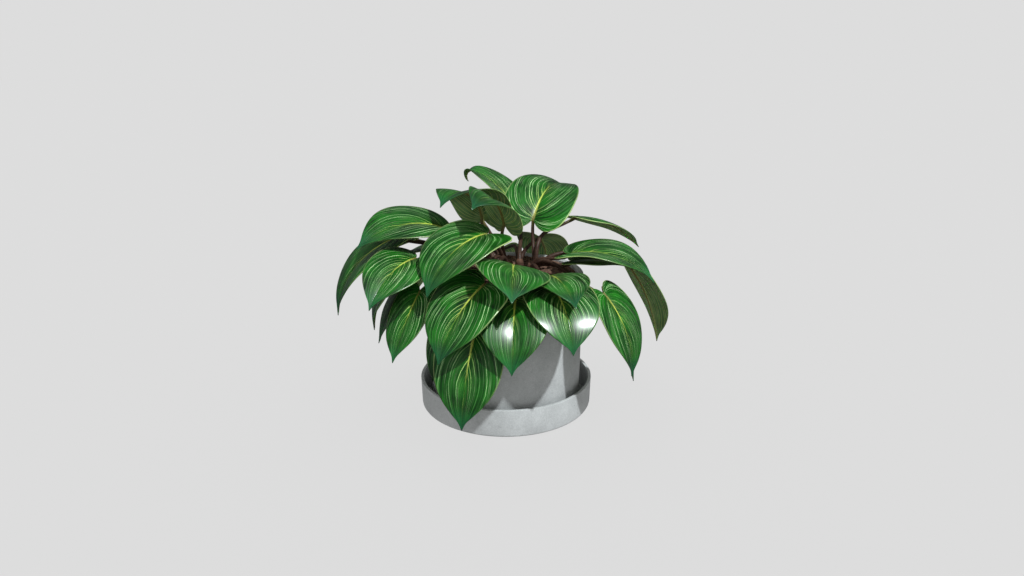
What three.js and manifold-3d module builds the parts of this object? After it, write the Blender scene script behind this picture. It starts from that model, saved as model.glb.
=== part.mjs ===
import * as THREE from 'three';
import { mergeVertices } from 'three/addons/utils/BufferGeometryUtils.js';
import Module from 'manifold-3d';

// Birkin philodendron in a straight concrete pot on a concrete saucer.
// Millimetres, +Z up, with the origin in the middle of the saucer's underside.
// The front of the plant, with its lowest hanging leaf, faces -Y.

// Clearance between pieces that touch
const GAP = 0.3;

// Saucer
const SAUCER_RADIUS = 102.5;
const SAUCER_EDGE_ROUND = 2.4;
const SAUCER_RIM_BREAK = 0.8;
const SAUCER_HEIGHT = 32.5;
const SAUCER_WALL = 3.6;
const SAUCER_DRAFT = 0.8;
const SAUCER_FLOOR = 4.5;

// Pot
const POT_RADIUS = 90;
const POT_FOOT_RADIUS = 88.5;
const POT_RIM_HEIGHT = 159.5;
const POT_WALL = 7.5;
const POT_FLOOR = 9;
const POT_EDGE_ROUND = 1.5;
const DRAIN_RADIUS = 7;

// Soil, filled almost to the rim and a little higher at the stems than at the wall
const SOIL_EDGE_HEIGHT = 156.5;
const SOIL_MOUND_HEIGHT = 157.5;
const SOIL_MOUND_SHARE = 0.3;
const ROUND_SIDES = 48;

// Short stems, each standing in a plain hole in the soil
const STEM_RADIUS = 5.4;
const STEM_SIDES = 12;
const STEM_FOOT_HEIGHT = 138;
const STEM_TOP_HEIGHT = 172;
const STEM_CROWN = 6;
const STEM_CROWN_NARROWING = 0.7;

// Petioles, whose roots on the stem's axis lie between two heights
const PETIOLE_LOWEST_ROOT = 159;
const PETIOLE_HIGHEST_ROOT = 168;
const PETIOLE_SIDES = 6;
const PETIOLE_STEPS = 8;
const PETIOLE_ROOT_RADIUS = 2.7;
const PETIOLE_END_RADIUS = 1.7;

// Blades
const BLADE_THICKNESS = 1.1;
const BLADE_COLUMNS = 2;
const VEIN_ORIGIN_POWER = 2.2;
const VEIN_CURVE_POWER = 1.5;
const HOOK_START = 0.78;

// Half outline of a blade from its notch round the lobe to the tip,
// as shares of the midrib's length and of half the blade's width
const OUTLINE = [
  [0, 0],
  [-0.07, 0.13],
  [-0.12, 0.36],
  [-0.1, 0.62],
  [-0.02, 0.84],
  [0.11, 0.97],
  [0.27, 1],
  [0.44, 0.955],
  [0.59, 0.815],
  [0.72, 0.59],
  [0.83, 0.33],
  [0.915, 0.115],
  [1, 0],
];

// What a leaf has unless its own row says otherwise. bend is how far the midrib turns from
// base to tip, hook how far its end turns as well, which curls it away from tip, roll turns
// the blade round its midrib, fold lifts both halves from the midrib, arch drops the edges,
// launch is the petiole's angle above level where it leaves the stem, meet its angle to the
// blade, and pull how far both of these directions carry, as a share of the distance.
// Angles are in degrees.
const TYPICAL = {
  bend: 50,
  hook: 0,
  roll: 0,
  width: 74,
  fold: 14,
  arch: 7,
  launch: 50,
  meet: 35,
  pull: 0.35,
};

// The stems with their leaves, lowest leaf first
const STEMS = [
  {
    name: 'stem_front_left',
    foot: [2, -10],
    leaves: [
      {
        name: 'leaf_low_1', base: [-29, -124, 136], tip: [-44, -146, 33],
        bend: 22, width: 74, roll: -18, launch: 75, meet: 22, pull: 0.47,
      },
      {
        name: 'leaf_low_2', base: [-45, -103, 142], tip: [-66, -116, 54],
        bend: 20, width: 54, roll: -44, launch: 75, meet: 22, pull: 0.5,
      },
      {
        name: 'leaf_front_1', base: [11, -103, 164], tip: [7, -160, 100],
        bend: 68, launch: 60, meet: 22,
      },
      { name: 'leaf_front_2', base: [-21, -105, 176], tip: [-65, -150, 107], width: 82, roll: -8 },
      {
        name: 'leaf_front_3', base: [9, -84, 191], tip: [7, -165, 176],
        bend: 60, roll: -13, fold: 7, width: 78, arch: 7,
      },
      { name: 'leaf_left_1', base: [-19, -60, 218], tip: [-78, -118, 166], bend: 70, width: 83, roll: -7 },
      {
        name: 'leaf_top_1', base: [-1, -27, 221], tip: [-33, -94, 250],
        bend: 105, width: 62, roll: -22,
      },
    ],
  },
  {
    name: 'stem_left',
    foot: [-12, 2],
    leaves: [
      {
        name: 'leaf_low_3', base: [-104, -22, 162], tip: [-145, -38, 85],
        bend: 25, width: 56, launch: 70, meet: 22,
      },
      {
        name: 'leaf_low_4', base: [-91, -71, 158], tip: [-117, -112, 93],
        bend: 20, width: 58, roll: 8, launch: 70, meet: 22, pull: 0.4,
      },
      { name: 'leaf_left_2', base: [-115, -35, 174], tip: [-148, -43, 103], launch: 60 },
      {
        name: 'leaf_left_3', base: [-96, -55, 190], tip: [-135, -125, 155],
        bend: 60, width: 65, roll: -14,
      },
      {
        name: 'leaf_left_4', base: [-124, -7, 201], tip: [-191, -30, 116],
        bend: 70, roll: -5, width: 70,
      },
      {
        name: 'leaf_left_5', base: [-70, -3, 211], tip: [-159, -56, 200],
        bend: 65, width: 84, roll: -14,
      },
      {
        name: 'leaf_top_2', base: [-28, 33, 216], tip: [-71, -29, 240],
        bend: 120, width: 86, roll: 5, meet: 25,
      },
    ],
  },
  {
    name: 'stem_front_right',
    foot: [30, -6],
    leaves: [
      {
        name: 'leaf_right_1', base: [109, -54, 144], tip: [143, -66, 51],
        bend: 25, width: 52, launch: 62, meet: 26, pull: 0.42,
      },
      {
        name: 'leaf_right_2', base: [105, -78, 157], tip: [135, -97, 71],
        width: 60, roll: 8, launch: 62, meet: 36, pull: 0.42,
      },
      { name: 'leaf_front_4', base: [50, -95, 168], tip: [67, -152, 118], bend: 75, width: 76 },
      {
        name: 'leaf_front_5', base: [45, -68, 174], tip: [69, -145, 164],
        roll: -4, bend: 55, width: 68,
      },
      {
        name: 'leaf_right_3', base: [73, -25, 187], tip: [162, -55, 162],
        bend: 65, width: 86, fold: 16, launch: 65, meet: 20,
      },
    ],
  },
  {
    name: 'stem_right',
    foot: [34, 6],
    leaves: [
      {
        name: 'leaf_right_4', base: [142, 30, 167], tip: [191, 45, 54],
        bend: 34, width: 90, launch: 60,
      },
      {
        name: 'leaf_right_5', base: [76, -18, 177], tip: [143, -40, 173],
        bend: 35, width: 64, roll: -3,
      },
      {
        name: 'leaf_top_3', base: [87, 60, 212], tip: [168, 81, 168],
        bend: 45, width: 72, roll: -10, fold: 4, launch: 85, meet: 30, pull: 0.55,
      },
      {
        name: 'leaf_top_4', base: [32, 25, 216], tip: [76, 117, 238],
        bend: 85, width: 84, roll: 11,
      },
    ],
  },
  {
    name: 'stem_back_right',
    foot: [16, 16],
    leaves: [
      {
        name: 'leaf_back_1', base: [-8, 112, 157], tip: [-34, 156, 85],
        bend: 30, width: 66, launch: 65, meet: 22, pull: 0.4,
      },
      { name: 'leaf_back_2', base: [41, 72, 184], tip: [57, 121, 115], width: 66, launch: 65 },
      {
        name: 'leaf_top_5', base: [16, 86, 212], tip: [-61, 118, 266],
        bend: 46, width: 68, hook: 150, fold: 20, meet: 20, launch: 72,
      },
    ],
  },
  {
    name: 'stem_back_left',
    foot: [-6, 17],
    leaves: [
      {
        name: 'leaf_back_4', base: [-98, 62, 156], tip: [-138, 88, 78],
        bend: 25, launch: 72, meet: 22, pull: 0.42,
      },
      { name: 'leaf_back_5', base: [-40, 96, 168], tip: [-58, 146, 98], width: 66, launch: 60 },
      { name: 'leaf_back_6', base: [-85, 55, 174], tip: [-150, 85, 136], launch: 55 },
      {
        name: 'leaf_left_6', base: [-117, 42, 191], tip: [-182, 13, 163],
        width: 60, bend: 30, launch: 42,
      },
      { name: 'leaf_back_3', base: [-30, 76, 204], tip: [-66, 130, 168], width: 62 },
    ],
  },
];

const UP = new THREE.Vector3(0, 0, 1);
const wasm = await Module();
wasm.setup();

// Faceted surface from points and triangles
function facets(points, triangles) {
  const geometry = new THREE.BufferGeometry();
  geometry.setAttribute('position', new THREE.Float32BufferAttribute(points, 3));
  geometry.setIndex(triangles);
  return geometry;
}

// The same surface with coincident points merged and flat triangles left out
function welded(geometry) {
  const bare = geometry.clone();
  bare.deleteAttribute('normal');
  bare.deleteAttribute('uv');
  const merged = mergeVertices(bare, 0.001);
  const index = merged.index.array;
  const kept = [];
  for (let i = 0; i < index.length; i += 3) {
    const [a, b, c] = [index[i], index[i + 1], index[i + 2]];
    if (a !== b && b !== c && c !== a) {
      kept.push(a, b, c);
    }
  }
  merged.setIndex(kept);
  return merged;
}

function toSolid(geometry) {
  const closed = welded(geometry);
  return new wasm.Manifold(
    new wasm.Mesh({
      numProp: 3,
      vertProperties: new Float32Array(closed.attributes.position.array),
      triVerts: new Uint32Array(closed.index.array),
    }),
  );
}

function fromSolid(solid) {
  const mesh = solid.getMesh();
  return facets(Array.from(mesh.vertProperties), Array.from(mesh.triVerts));
}

// Turned shape about a vertical axis, from [radius, height] corners
function turned(corners, sides) {
  const profile = corners.map(([radius, height]) => new THREE.Vector2(radius, height));
  const geometry = new THREE.LatheGeometry(profile, sides);
  geometry.rotateX(Math.PI / 2);
  return welded(geometry);
}

// Circular arc from base to tip that turns through bend and bulges upward, then curls by hook
function archedLine(base, tip, bend, hook) {
  const start = new THREE.Vector3(...base);
  const chord = new THREE.Vector3(...tip).sub(start);
  const ahead = chord.clone().normalize();
  const rise = UP.clone().addScaledVector(ahead, -UP.dot(ahead)).normalize();
  const turn = THREE.MathUtils.degToRad(bend);
  const radius = chord.length() / (2 * Math.sin(turn / 2));
  const curl = turn + THREE.MathUtils.degToRad(hook) / (1 - HOOK_START);
  const curlRadius = (radius * turn) / curl;
  return (share) => {
    const even = Math.min(share, HOOK_START);
    const bent = turn / 2 - turn * even;
    const angle = bent - curl * (share - even);
    const forward =
      radius * (Math.sin(turn / 2) - Math.sin(bent)) + curlRadius * (Math.sin(bent) - Math.sin(angle));
    const raised =
      radius * (Math.cos(bent) - Math.cos(turn / 2)) + curlRadius * (Math.cos(angle) - Math.cos(bent));
    const point = start.clone().addScaledVector(ahead, forward).addScaledVector(rise, raised);
    const along = ahead.clone().multiplyScalar(Math.cos(angle)).addScaledVector(rise, Math.sin(angle));
    const up = rise.clone().multiplyScalar(Math.cos(angle)).addScaledVector(ahead, -Math.sin(angle));
    return { point, along, up };
  };
}

// Midrib frame of a leaf at a share of its length, rolled about the midrib
function midribFrame(leaf, share) {
  const frame = archedLine(leaf.base, leaf.tip, leaf.bend, leaf.hook)(share);
  frame.up.applyAxisAngle(frame.along, THREE.MathUtils.degToRad(leaf.roll));
  frame.left = frame.up.clone().cross(frame.along);
  return frame;
}

// Point of a blade's middle surface: row runs from notch to tip, across from -1 to 1
function bladePoint(leaf, row, across, offset) {
  const [edgeShare, edgeOut] = OUTLINE[row];
  const side = Math.abs(across);
  const origin = (row / (OUTLINE.length - 1)) ** VEIN_ORIGIN_POWER;
  const share = origin + (edgeShare - origin) * side ** VEIN_CURVE_POWER;
  const out = edgeOut * side;
  const frame = midribFrame(leaf, share);
  const reach = (out * leaf.width) / 2;
  const lift = reach * Math.tan(THREE.MathUtils.degToRad(leaf.fold)) - leaf.arch * out ** 2;
  return frame.point
    .addScaledVector(frame.left, reach * Math.sign(across))
    .addScaledVector(frame.up, lift + offset);
}

// Heart shaped blade whose facets follow its curved veins, alike above and below
function bladeGeometry(leaf) {
  const rows = OUTLINE.length - 1;
  const points = [];
  const triangles = [];
  const index = new Map();
  for (const face of [1, -1]) {
    for (let row = 0; row <= rows; row += 1) {
      const isPoint = row === 0 || row === rows;
      const reach = isPoint ? 0 : BLADE_COLUMNS;
      for (let column = -reach; column <= reach; column += 1) {
        const offset = (face * BLADE_THICKNESS) / 2;
        const place = bladePoint(leaf, row, column / BLADE_COLUMNS, offset);
        index.set(`${face} ${row} ${column}`, points.length / 3);
        points.push(place.x, place.y, place.z);
      }
    }
  }
  const at = (face, row, column) => {
    const isPoint = row === 0 || row === rows;
    return index.get(`${face} ${row} ${isPoint ? 0 : column}`);
  };
  const add = (...corners) => {
    if (new Set(corners).size === 3) {
      triangles.push(...corners);
    }
  };
  for (let row = 0; row < rows; row += 1) {
    for (let column = -BLADE_COLUMNS; column < BLADE_COLUMNS; column += 1) {
      for (const face of [1, -1]) {
        const a = at(face, row, column);
        const b = at(face, row + 1, column);
        const c = at(face, row + 1, column + 1);
        const d = at(face, row, column + 1);
        const quad = column < 0 ? [[a, d, c], [a, c, b]] : [[a, d, b], [b, d, c]];
        for (const [p, q, r] of quad) {
          add(...(face > 0 ? [p, r, q] : [p, q, r]));
        }
      }
    }
    for (const side of [-1, 1]) {
      const column = side * BLADE_COLUMNS;
      const topNear = at(1, row, column);
      const topFar = at(1, row + 1, column);
      const lowNear = at(-1, row, column);
      const lowFar = at(-1, row + 1, column);
      const wall = [[topNear, topFar, lowNear], [topFar, lowFar, lowNear]];
      for (const [p, q, r] of wall) {
        add(...(side < 0 ? [p, r, q] : [p, q, r]));
      }
    }
  }
  return facets(points, triangles);
}

// Tapered petiole from the stem's axis to the underside of its blade, cut parallel to it
function petioleGeometry(leaf, root) {
  const frame = midribFrame(leaf, 0);
  const meet = THREE.MathUtils.degToRad(leaf.meet);
  const arrival = frame.along
    .clone()
    .multiplyScalar(Math.cos(meet))
    .addScaledVector(frame.up, Math.sin(meet));
  const seat = frame.point.clone().addScaledVector(frame.up, -BLADE_THICKNESS / 2 - GAP);
  const start = new THREE.Vector3(...root);
  const handle = start.distanceTo(seat) * leaf.pull;
  const outward = new THREE.Vector3(seat.x - start.x, seat.y - start.y, 0).normalize();
  const launch = THREE.MathUtils.degToRad(leaf.launch);
  const departure = outward.multiplyScalar(Math.cos(launch)).addScaledVector(UP, Math.sin(launch));
  const curve = new THREE.CubicBezierCurve3(
    start,
    start.clone().addScaledVector(departure, handle),
    seat.clone().addScaledVector(arrival, -handle),
    seat,
  );
  const { tangents, normals, binormals } = curve.computeFrenetFrames(PETIOLE_STEPS, false);
  const points = [];
  for (let step = 0; step <= PETIOLE_STEPS; step += 1) {
    const share = step / PETIOLE_STEPS;
    const centre = curve.getPointAt(share);
    const radius = THREE.MathUtils.lerp(PETIOLE_ROOT_RADIUS, PETIOLE_END_RADIUS, share);
    for (let side = 0; side < PETIOLE_SIDES; side += 1) {
      const angle = (side / PETIOLE_SIDES) * 2 * Math.PI;
      const place = centre
        .clone()
        .addScaledVector(normals[step], radius * Math.cos(angle))
        .addScaledVector(binormals[step], radius * Math.sin(angle));
      if (step === PETIOLE_STEPS) {
        const drop = seat.clone().sub(place).dot(frame.up);
        place.addScaledVector(tangents[step], drop / tangents[step].dot(frame.up));
      }
      points.push(place.x, place.y, place.z);
    }
  }
  const triangles = [];
  for (let step = 0; step < PETIOLE_STEPS; step += 1) {
    for (let side = 0; side < PETIOLE_SIDES; side += 1) {
      const next = (side + 1) % PETIOLE_SIDES;
      const a = step * PETIOLE_SIDES + side;
      const b = step * PETIOLE_SIDES + next;
      const c = a + PETIOLE_SIDES;
      const d = b + PETIOLE_SIDES;
      triangles.push(a, b, c, b, d, c);
    }
  }
  const last = PETIOLE_STEPS * PETIOLE_SIDES;
  for (let side = 1; side < PETIOLE_SIDES - 1; side += 1) {
    triangles.push(0, side + 1, side, last, last + side, last + side + 1);
  }
  return facets(points, triangles);
}

// Stem with the petioles of its leaves grown into it
function stemGeometry(stem) {
  const [x, y] = stem.foot;
  const body = turned(
    [
      [0, STEM_FOOT_HEIGHT],
      [STEM_RADIUS, STEM_FOOT_HEIGHT],
      [STEM_RADIUS, STEM_TOP_HEIGHT - STEM_CROWN],
      [STEM_RADIUS * STEM_CROWN_NARROWING, STEM_TOP_HEIGHT - STEM_CROWN / 4],
      [0, STEM_TOP_HEIGHT],
    ],
    STEM_SIDES,
  );
  body.translate(x, y, 0);
  let solid = toSolid(body);
  stem.leaves.forEach((leaf, rank) => {
    const share = rank / (stem.leaves.length - 1);
    const height = THREE.MathUtils.lerp(PETIOLE_LOWEST_ROOT, PETIOLE_HIGHEST_ROOT, share);
    solid = solid.add(toSolid(petioleGeometry(leaf, [x, y, height])));
  });
  return fromSolid(solid);
}

// Soil that fills the pot, with a plain hole for each stem
function soilGeometry() {
  const inner = POT_RADIUS - POT_WALL - GAP;
  const floor = SAUCER_FLOOR + GAP + POT_FLOOR + GAP;
  let solid = toSolid(
    turned(
      [
        [0, floor],
        [POT_FOOT_RADIUS - POT_WALL - GAP, floor],
        [inner, SOIL_EDGE_HEIGHT],
        [inner * SOIL_MOUND_SHARE, SOIL_MOUND_HEIGHT],
        [0, SOIL_MOUND_HEIGHT],
      ],
      ROUND_SIDES,
    ),
  );
  for (const stem of STEMS) {
    const [x, y] = stem.foot;
    const hole = turned(
      [
        [0, STEM_FOOT_HEIGHT - GAP],
        [STEM_RADIUS + GAP, STEM_FOOT_HEIGHT - GAP],
        [STEM_RADIUS + GAP, STEM_TOP_HEIGHT],
        [0, STEM_TOP_HEIGHT],
      ],
      STEM_SIDES,
    );
    hole.translate(x, y, 0);
    solid = solid.subtract(toSolid(hole));
  }
  return fromSolid(solid);
}

// Quarter round of a turned profile about its centre, in steps of 30 degrees from an angle
function quarterRound([radius, height], size, from) {
  return [0, 30, 60, 90].map((turn) => {
    const angle = THREE.MathUtils.degToRad(from + turn);
    return [radius + size * Math.cos(angle), height + size * Math.sin(angle)];
  });
}

function saucerGeometry() {
  const inner = SAUCER_RADIUS - SAUCER_WALL;
  const foot = SAUCER_RADIUS - SAUCER_DRAFT - SAUCER_EDGE_ROUND;
  return turned(
    [
      [0, 0],
      ...quarterRound([foot, SAUCER_EDGE_ROUND], SAUCER_EDGE_ROUND, -90),
      [SAUCER_RADIUS, SAUCER_HEIGHT - SAUCER_RIM_BREAK],
      [SAUCER_RADIUS - SAUCER_RIM_BREAK, SAUCER_HEIGHT],
      [inner + SAUCER_RIM_BREAK, SAUCER_HEIGHT],
      [inner, SAUCER_HEIGHT - SAUCER_RIM_BREAK],
      [inner - SAUCER_DRAFT, SAUCER_FLOOR + SAUCER_EDGE_ROUND],
      [inner - SAUCER_DRAFT - SAUCER_EDGE_ROUND, SAUCER_FLOOR],
      [0, SAUCER_FLOOR],
    ],
    ROUND_SIDES,
  );
}

function potGeometry() {
  const bottom = SAUCER_FLOOR + GAP;
  const inner = POT_RADIUS - POT_WALL;
  return turned(
    [
      [DRAIN_RADIUS, bottom],
      [POT_FOOT_RADIUS - POT_EDGE_ROUND, bottom],
      [POT_FOOT_RADIUS, bottom + POT_EDGE_ROUND],
      [POT_RADIUS, POT_RIM_HEIGHT - POT_EDGE_ROUND],
      [POT_RADIUS - POT_EDGE_ROUND, POT_RIM_HEIGHT],
      [inner + POT_EDGE_ROUND, POT_RIM_HEIGHT],
      [inner, POT_RIM_HEIGHT - POT_EDGE_ROUND],
      [POT_FOOT_RADIUS - POT_WALL, bottom + POT_FLOOR],
      [DRAIN_RADIUS, bottom + POT_FLOOR],
      [DRAIN_RADIUS, bottom],
    ],
    ROUND_SIDES,
  );
}

const plant = new THREE.Group();

function place(name, geometry, color, roughness) {
  const material = new THREE.MeshStandardMaterial({ color, roughness, metalness: 0 });
  const mesh = new THREE.Mesh(geometry, material);
  mesh.name = name;
  plant.add(mesh);
}

place('saucer', saucerGeometry(), '#9b9fa0', 0.8);
place('pot', potGeometry(), '#94989a', 0.8);
place('soil', soilGeometry(), '#3f2c22', 0.95);
for (const stem of STEMS) {
  stem.leaves = stem.leaves.map((leaf) => ({ ...TYPICAL, ...leaf }));
  place(stem.name, stemGeometry(stem), '#4b2f27', 0.5);
  for (const leaf of stem.leaves) {
    place(leaf.name, bladeGeometry(leaf), '#2c6b2f', 0.3);
  }
}

export default plant;
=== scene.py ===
import math
import random

import bmesh
import bpy
from mathutils import Matrix, Quaternion, Vector, noise


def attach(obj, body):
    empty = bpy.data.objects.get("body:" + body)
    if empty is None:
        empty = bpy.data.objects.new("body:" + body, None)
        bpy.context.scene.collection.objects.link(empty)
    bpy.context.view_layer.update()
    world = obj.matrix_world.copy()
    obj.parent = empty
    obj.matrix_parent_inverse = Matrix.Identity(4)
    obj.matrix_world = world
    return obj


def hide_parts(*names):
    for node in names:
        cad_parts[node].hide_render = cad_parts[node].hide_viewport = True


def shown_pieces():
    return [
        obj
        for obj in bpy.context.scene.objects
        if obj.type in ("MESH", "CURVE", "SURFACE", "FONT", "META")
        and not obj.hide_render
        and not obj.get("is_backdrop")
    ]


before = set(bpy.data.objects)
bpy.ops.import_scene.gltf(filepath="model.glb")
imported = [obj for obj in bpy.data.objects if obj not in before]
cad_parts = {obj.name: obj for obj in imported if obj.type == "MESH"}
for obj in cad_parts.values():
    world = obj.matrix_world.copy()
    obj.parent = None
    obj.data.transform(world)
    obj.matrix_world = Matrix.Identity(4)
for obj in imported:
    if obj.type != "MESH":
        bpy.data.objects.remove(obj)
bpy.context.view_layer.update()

# Saucer
# Catches the water that drains from the pot. Cast in fine grey concrete in one piece, with a
# thin even wall, a rounded foot and a slightly broken rim, and left unsealed.


def turned(shape, corners, steps, closed=False):
    """Turns a profile of (radius, height) corners about the upright axis."""
    verts = [shape.verts.new((radius, 0, height)) for radius, height in corners]
    pairs = list(zip(verts, verts[1:]))
    if closed:
        pairs.append((verts[-1], verts[0]))
    edges = [shape.edges.new(pair) for pair in pairs]
    bmesh.ops.spin(
        shape, geom=verts + edges, cent=(0, 0, 0), axis=(0, 0, 1),
        angle=math.tau, steps=steps, use_merge=True,
    )
    bmesh.ops.remove_doubles(shape, verts=shape.verts, dist=0.001)
    bmesh.ops.recalc_face_normals(shape, faces=shape.faces)


def soften_ring(shape, radius, height, size, segments=4):
    """Rounds the turned corner at that radius and height."""
    def on_ring(vert):
        return (abs(math.hypot(vert.co.x, vert.co.y) - radius) < 0.05
                and abs(vert.co.z - height) < 0.05)
    ring = [edge for edge in shape.edges if all(on_ring(vert) for vert in edge.verts)]
    bmesh.ops.bevel(
        shape, geom=ring, offset=size, offset_type="OFFSET", segments=segments,
        profile=0.5, affect="EDGES", material=-1,
    )


def settle(shape, name, *materials):
    """Makes an object of a shape drawn in millimetres: in metres, smooth but for its edges."""
    bmesh.ops.scale(shape, vec=(0.001, 0.001, 0.001), verts=shape.verts)
    for face in shape.faces:
        face.smooth = True
    mesh = bpy.data.meshes.new(name)
    shape.to_mesh(mesh)
    shape.free()
    mesh.set_sharp_from_angle(angle=math.radians(40))
    for material in materials:
        mesh.materials.append(material)
    piece = bpy.data.objects.new(name, mesh)
    bpy.context.scene.collection.objects.link(piece)
    return piece


def linear(code):
    """Turns an sRGB hex colour into a linear one."""
    shares = [int(code[i:i + 2], 16) / 255 for i in (1, 3, 5)]
    return [s / 12.92 if s <= 0.04045 else ((s + 0.055) / 1.055) ** 2.4 for s in shares] + [1]


def per_metre(size):
    """Texture scale at which one feature is that many millimetres across."""
    return 1000 / size


def new_material(name):
    material = bpy.data.materials.new(name)
    material.use_nodes = True
    material.node_tree.nodes.clear()
    return material


def add_node(material, kind, inputs=None, **settings):
    """Adds a shader node. An input takes a value, another node, or one of its sockets."""
    tree = material.node_tree
    node = tree.nodes.new("ShaderNode" + kind)
    for key, value in settings.items():
        setattr(node, key, value)
    for key, value in (inputs or {}).items():
        if isinstance(value, bpy.types.Node):
            value = value.outputs[0]
        if isinstance(value, bpy.types.NodeSocket):
            tree.links.new(value, node.inputs[key])
        else:
            node.inputs[key].default_value = value
    return node


def cast_concrete(name):
    """Fine cast concrete: cloudy grey from uneven drying, sandy grain and a few air pits, painted
    dark inside as painted shade.
    """
    skin = new_material(name)
    place = add_node(skin, "TexCoord").outputs["Object"]
    clouds = add_node(skin, "TexNoise", {"Vector": place, "Scale": per_metre(26),
                                         "Detail": 5, "Roughness": 0.62})
    sand = add_node(skin, "TexNoise", {"Vector": place, "Scale": per_metre(1.7),
                                       "Detail": 3, "Roughness": 0.7})
    flecks = add_node(skin, "TexNoise", {"Vector": place, "Scale": per_metre(4.5),
                                         "Detail": 2, "Roughness": 0.6})
    bubbles = add_node(skin, "TexVoronoi", {"Vector": place, "Scale": per_metre(6.5)})
    size = add_node(skin, "SeparateColor", {0: bubbles.outputs["Color"]})
    reach = add_node(skin, "MapRange", {"Value": size, "From Min": 0.55, "From Max": 1,
                                        "To Min": 0.001, "To Max": 0.13})
    pit = add_node(skin, "MapRange", {"Value": bubbles.outputs["Distance"], "From Min": reach,
                                      "From Max": 0, "To Min": 0, "To Max": 1},
                   interpolation_type="SMOOTHSTEP")
    cloud = add_node(skin, "MapRange", {"Value": clouds, "From Min": 0.32, "From Max": 0.68})
    grey = add_node(skin, "Mix", {0: cloud, 6: linear("#a5a8a8"), 7: linear("#b5b8b8")},
                    data_type="RGBA")
    grain = add_node(skin, "MapRange", {"Value": sand, "From Min": 0.3, "From Max": 0.7,
                                        "To Min": 0.88, "To Max": 1.1})
    fleck = add_node(skin, "MapRange", {"Value": flecks, "From Min": 0.6, "From Max": 0.75,
                                        "To Min": 1, "To Max": 0.86})
    shade = add_node(skin, "Math", {0: grain, 1: fleck}, operation="MULTIPLY")
    tinted = add_node(skin, "Mix", {0: 1, 6: grey.outputs[2], 7: shade},
                      data_type="RGBA", blend_type="MULTIPLY")
    # painted shade: the air pits are painted dark grey for the shade inside the small holes
    pit_shaded_tone = add_node(skin, "Mix", {0: pit, 6: tinted.outputs[2], 7: linear("#5f6263")},
                      data_type="RGBA")
    rough = add_node(skin, "MapRange", {"Value": clouds, "To Min": 0.72, "To Max": 0.88})
    relief = add_node(skin, "Math", {0: sand, 1: 0.5, 2: clouds}, operation="MULTIPLY_ADD")
    relief = add_node(skin, "Math", {0: relief, 1: pit}, operation="SUBTRACT")
    bump = add_node(skin, "Bump", {"Height": relief, "Strength": 0.7, "Distance": 0.0005})
    shader = add_node(skin, "BsdfPrincipled", {
        "Base Color": pit_shaded_tone.outputs[2], "Roughness": rough, "IOR": 1.5, "Normal": bump,
    })
    add_node(skin, "OutputMaterial", {"Surface": shader})
    return skin


# Its height and floor, and its radii outside at the foot and the rim and inside at both
SAUCER_HEIGHT = 32.5
SAUCER_FLOOR = 4.5
SAUCER_FOOT = 101.75
SAUCER_RIM = 102.5
SAUCER_MOUTH = 98.9
SAUCER_WELL = 97.85
ROUND_STEPS = 192

concrete = cast_concrete("cast_concrete")

shape = bmesh.new()
turned(
    shape,
    [(0, 0), (SAUCER_FOOT, 0), (SAUCER_RIM, SAUCER_HEIGHT), (SAUCER_MOUTH, SAUCER_HEIGHT),
     (SAUCER_WELL, SAUCER_FLOOR), (0, SAUCER_FLOOR)],
    ROUND_STEPS,
)
soften_ring(shape, SAUCER_FOOT, 0, size=2.4)
soften_ring(shape, SAUCER_RIM, SAUCER_HEIGHT, size=0.4)
soften_ring(shape, SAUCER_MOUTH, SAUCER_HEIGHT, size=0.4)
soften_ring(shape, SAUCER_WELL, SAUCER_FLOOR, size=2.2)
saucer = settle(shape, "concrete_saucer", concrete)
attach(saucer, "root")
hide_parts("saucer")

# Pot
# Holds the plant. Cast in the same concrete with a straight wall that widens a little towards
# its flat rim, and a drain hole through the floor. It stands loose in the saucer.

# Heights, then radii outside at the foot and the rim and inside at both. Its underside is
# 0.3 mm above the saucer's floor
POT_UNDERSIDE = 4.8
POT_FLOOR = 13.8
POT_TOP = 159.5
POT_FOOT = 88.45
POT_RIM = 90
POT_MOUTH = 82.5
POT_WELL = 81
DRAIN_HOLE = 7

shape = bmesh.new()
turned(
    shape,
    [(DRAIN_HOLE, POT_UNDERSIDE), (POT_FOOT, POT_UNDERSIDE), (POT_RIM, POT_TOP),
     (POT_MOUTH, POT_TOP), (POT_WELL, POT_FLOOR), (DRAIN_HOLE, POT_FLOOR)],
    ROUND_STEPS, closed=True,
)
soften_ring(shape, POT_FOOT, POT_UNDERSIDE, size=1.5)
soften_ring(shape, POT_RIM, POT_TOP, size=1.3)
soften_ring(shape, POT_MOUTH, POT_TOP, size=1.3)
soften_ring(shape, DRAIN_HOLE, POT_UNDERSIDE, size=0.6, segments=2)
pot = settle(shape, "concrete_pot", concrete)
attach(pot, "root")
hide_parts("pot")

# Soil
# Peat and bark potting mix, pressed in by hand around the stems and a little higher there.
# Its surface is loose crumbs and small lumps that catch the light.

SOIL_RADIUS = 82.2
SOIL_FOOT = 80.7
SOIL_FLOOR = 14.1
SOIL_TOP = 157.5
SOIL_RINGS = 56
SOIL_STEPS = 200
# The share of the radius that is level, before the soil falls by a millimetre to the wall
LEVEL_SHARE = 0.3
# How high and how wide its lumps are
SOIL_LUMPS = [(1.2, 11), (1.0, 4.2), (0.7, 1.9)]
CRUMBS = 420
CRUMB_SIZES = (0.8, 1.0, 1.3, 1.8, 2.4)


def soil_height(radius):
    """Height of the soil before its lumps, a little lower at the wall than at the stems."""
    return SOIL_TOP - max(0, radius / SOIL_RADIUS - LEVEL_SHARE) / (1 - LEVEL_SHARE)


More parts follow.
